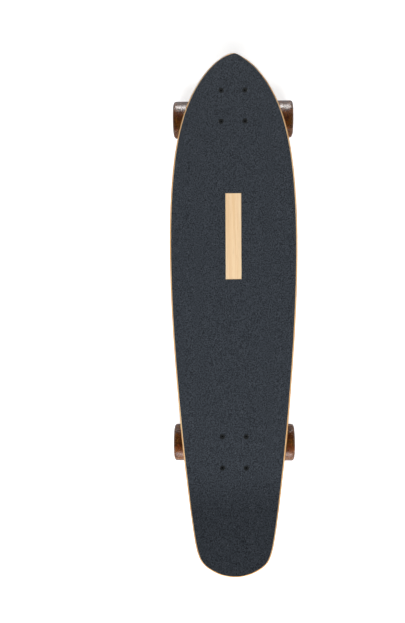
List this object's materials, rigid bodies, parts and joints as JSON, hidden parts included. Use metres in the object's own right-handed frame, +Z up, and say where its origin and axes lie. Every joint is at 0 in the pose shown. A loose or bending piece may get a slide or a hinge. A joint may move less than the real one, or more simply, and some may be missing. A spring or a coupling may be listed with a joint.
{
  "type": "longboard skateboard",
  "caption": "Longboard with a drawn-out pointed nose, kicked tail, grit-covered maple deck, cast trucks that steer on a leaning kingpin and soft amber urethane wheels on ball bearings.",
  "frame": {"origin": "on the ground under the middle of the deck's length and width", "axes": "+X towards the nose, +Y towards the left side, +Z up"},
  "size_m": [0.8971, 0.2212, 0.1458],
  "materials": {
    "maple": "clear lacquer",
    "grip": "coarse grit",
    "black_steel": "black oxide",
    "zinc_steel": "zinc plated",
    "riser_rubber": "matte",
    "cast_aluminium": "tumbled casting",
    "pivot_plastic": "moulded",
    "kingpin_steel": "plated",
    "bushing_urethane": "cast urethane",
    "washer_steel": "pressed",
    "axle_steel": "ground",
    "wheel_urethane": "glossy translucent urethane",
    "wheel_core": "moulded",
    "bearing_steel": "polished",
    "cage_plastic": "moulded",
    "shield_steel": "pressed"
  },
  "bodies": {
    "deck": {"deck": "maple", "griptape": "grip", "deck_bolts": "black_steel", "deck_bolt_nuts": "zinc_steel", "front_riser_pad": "riser_rubber", "front_baseplate": "cast_aluminium", "front_pivot_cup": "pivot_plastic", "front_kingpin": "kingpin_steel", "front_kingpin_nut": "zinc_steel", "front_bottom_bushing": "bushing_urethane", "front_top_bushing": "bushing_urethane", "front_kingpin_washers": "washer_steel", "rear_riser_pad": "riser_rubber", "rear_baseplate": "cast_aluminium", "rear_pivot_cup": "pivot_plastic", "rear_kingpin": "kingpin_steel", "rear_kingpin_nut": "zinc_steel", "rear_bottom_bushing": "bushing_urethane", "rear_top_bushing": "bushing_urethane", "rear_kingpin_washers": "washer_steel"},
    "front_hanger": {"front_hanger": "cast_aluminium", "front_axle": "axle_steel", "front_axle_nuts": "zinc_steel", "front_speed_rings": "washer_steel", "front_left_bearing_inner_rings": "bearing_steel", "front_left_spacer": "axle_steel", "front_right_bearing_inner_rings": "bearing_steel", "front_right_spacer": "axle_steel"},
    "front_left_wheel": {"front_left_tyre": "wheel_urethane", "front_left_core": "wheel_core", "front_left_bearing_outer_rings": "bearing_steel", "front_left_bearing_shields": "shield_steel"},
    "front_left_balls": {"front_left_bearing_balls": "bearing_steel", "front_left_bearing_cages": "cage_plastic"},
    "front_right_wheel": {"front_right_tyre": "wheel_urethane", "front_right_core": "wheel_core", "front_right_bearing_outer_rings": "bearing_steel", "front_right_bearing_shields": "shield_steel"},
    "front_right_balls": {"front_right_bearing_balls": "bearing_steel", "front_right_bearing_cages": "cage_plastic"},
    "rear_hanger": {"rear_hanger": "cast_aluminium", "rear_axle": "axle_steel", "rear_axle_nuts": "zinc_steel", "rear_speed_rings": "washer_steel", "rear_left_bearing_inner_rings": "bearing_steel", "rear_left_spacer": "axle_steel", "rear_right_bearing_inner_rings": "bearing_steel", "rear_right_spacer": "axle_steel"},
    "rear_left_wheel": {"rear_left_tyre": "wheel_urethane", "rear_left_core": "wheel_core", "rear_left_bearing_outer_rings": "bearing_steel", "rear_left_bearing_shields": "shield_steel"},
    "rear_left_balls": {"rear_left_bearing_balls": "bearing_steel", "rear_left_bearing_cages": "cage_plastic"},
    "rear_right_wheel": {"rear_right_tyre": "wheel_urethane", "rear_right_core": "wheel_core", "rear_right_bearing_outer_rings": "bearing_steel", "rear_right_bearing_shields": "shield_steel"},
    "rear_right_balls": {"rear_right_bearing_balls": "bearing_steel", "rear_right_bearing_cages": "cage_plastic"}
  },
  "joints": [
    {"name": "front_truck_steer", "type": "hinge", "parent": "deck", "child": "front_hanger", "pos_m": [0.33197, 0, 0.05292], "axis": [0.8886, 0, 0.4588], "range_deg": [-15, 15], "stiffness_Nm_per_rad": 30, "deforming": ["front_bottom_bushing", "front_top_bushing"]},
    {"name": "front_left_wheel_spin", "type": "hinge", "parent": "front_hanger", "child": "front_left_wheel", "pos_m": [0.3477, 0.0834, 0.033], "axis": [0, 1, 0], "continuous": true},
    {"name": "front_left_ball_orbit", "type": "hinge", "parent": "front_hanger", "child": "front_left_balls", "pos_m": [0.3477, 0.0834, 0.033], "axis": [0, 1, 0], "continuous": true},
    {"name": "front_right_wheel_spin", "type": "hinge", "parent": "front_hanger", "child": "front_right_wheel", "pos_m": [0.3477, -0.0834, 0.033], "axis": [0, 1, 0], "continuous": true},
    {"name": "front_right_ball_orbit", "type": "hinge", "parent": "front_hanger", "child": "front_right_balls", "pos_m": [0.3477, -0.0834, 0.033], "axis": [0, 1, 0], "continuous": true},
    {"name": "rear_truck_steer", "type": "hinge", "parent": "deck", "child": "rear_hanger", "pos_m": [-0.22177, 0, 0.05292], "axis": [-0.8886, 0, 0.4588], "range_deg": [-15, 15], "stiffness_Nm_per_rad": 30, "deforming": ["rear_bottom_bushing", "rear_top_bushing"]},
    {"name": "rear_left_wheel_spin", "type": "hinge", "parent": "rear_hanger", "child": "rear_left_wheel", "pos_m": [-0.2375, 0.0834, 0.033], "axis": [0, 1, 0], "continuous": true},
    {"name": "rear_left_ball_orbit", "type": "hinge", "parent": "rear_hanger", "child": "rear_left_balls", "pos_m": [-0.2375, 0.0834, 0.033], "axis": [0, 1, 0], "continuous": true},
    {"name": "rear_right_wheel_spin", "type": "hinge", "parent": "rear_hanger", "child": "rear_right_wheel", "pos_m": [-0.2375, -0.0834, 0.033], "axis": [0, 1, 0], "continuous": true},
    {"name": "rear_right_ball_orbit", "type": "hinge", "parent": "rear_hanger", "child": "rear_right_balls", "pos_m": [-0.2375, -0.0834, 0.033], "axis": [0, 1, 0], "continuous": true}
  ],
  "couplings": [
    {"joint": "front_left_ball_orbit", "follows": "front_left_wheel_spin", "ratio": 0.6323},
    {"joint": "front_right_ball_orbit", "follows": "front_right_wheel_spin", "ratio": 0.6323},
    {"joint": "rear_left_ball_orbit", "follows": "rear_left_wheel_spin", "ratio": 0.6323},
    {"joint": "rear_right_ball_orbit", "follows": "rear_right_wheel_spin", "ratio": 0.6323}
  ]
}
